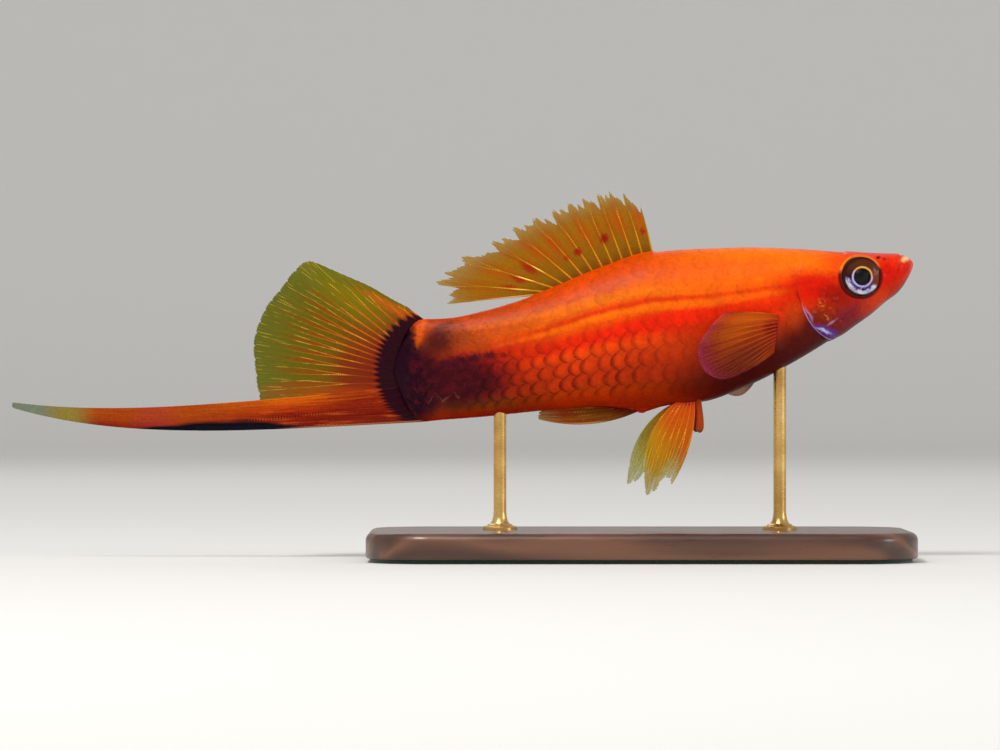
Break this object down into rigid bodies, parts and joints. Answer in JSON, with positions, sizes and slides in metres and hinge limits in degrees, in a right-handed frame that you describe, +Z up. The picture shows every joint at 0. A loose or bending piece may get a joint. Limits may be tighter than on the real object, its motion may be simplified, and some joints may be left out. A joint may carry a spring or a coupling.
{
  "type": "swordtail fish model",
  "caption": "Life-size still model of a male swordtail fish with a raised dorsal fin, fan tail and long sword, held on two rods over a small base.",
  "frame": {"origin": "centre of the stand base's underside", "axes": "+Z up, +X towards the fish's snout along its length, +Y towards the fish's left side"},
  "size_m": [0.0994, 0.03, 0.0408],
  "materials": {
    "skin": "satin red and orange scaled skin",
    "fin_skin": "thin golden fin skin with raised rays",
    "eye": "polished dark eye with a silver ring",
    "base_wood": "dark oiled hardwood",
    "rod_metal": "brushed rod"
  },
  "bodies": {
    "root": {"head": "skin", "lower_jaw": "skin", "gill_cover_right": "skin", "gill_cover_left": "skin", "eye_right": "eye", "eye_left": "eye", "trunk": "skin", "tail_stalk": "skin", "dorsal_fin": "fin_skin", "tail_fin": "fin_skin", "tail_sword": "fin_skin", "anal_fin": "fin_skin", "pelvic_fin_right": "fin_skin", "pelvic_fin_left": "fin_skin", "pectoral_fin_right": "fin_skin", "pectoral_fin_left": "fin_skin", "stand_base": "base_wood", "stand_rod_front": "rod_metal", "stand_rod_rear": "rod_metal"}
  },
  "joints": []
}
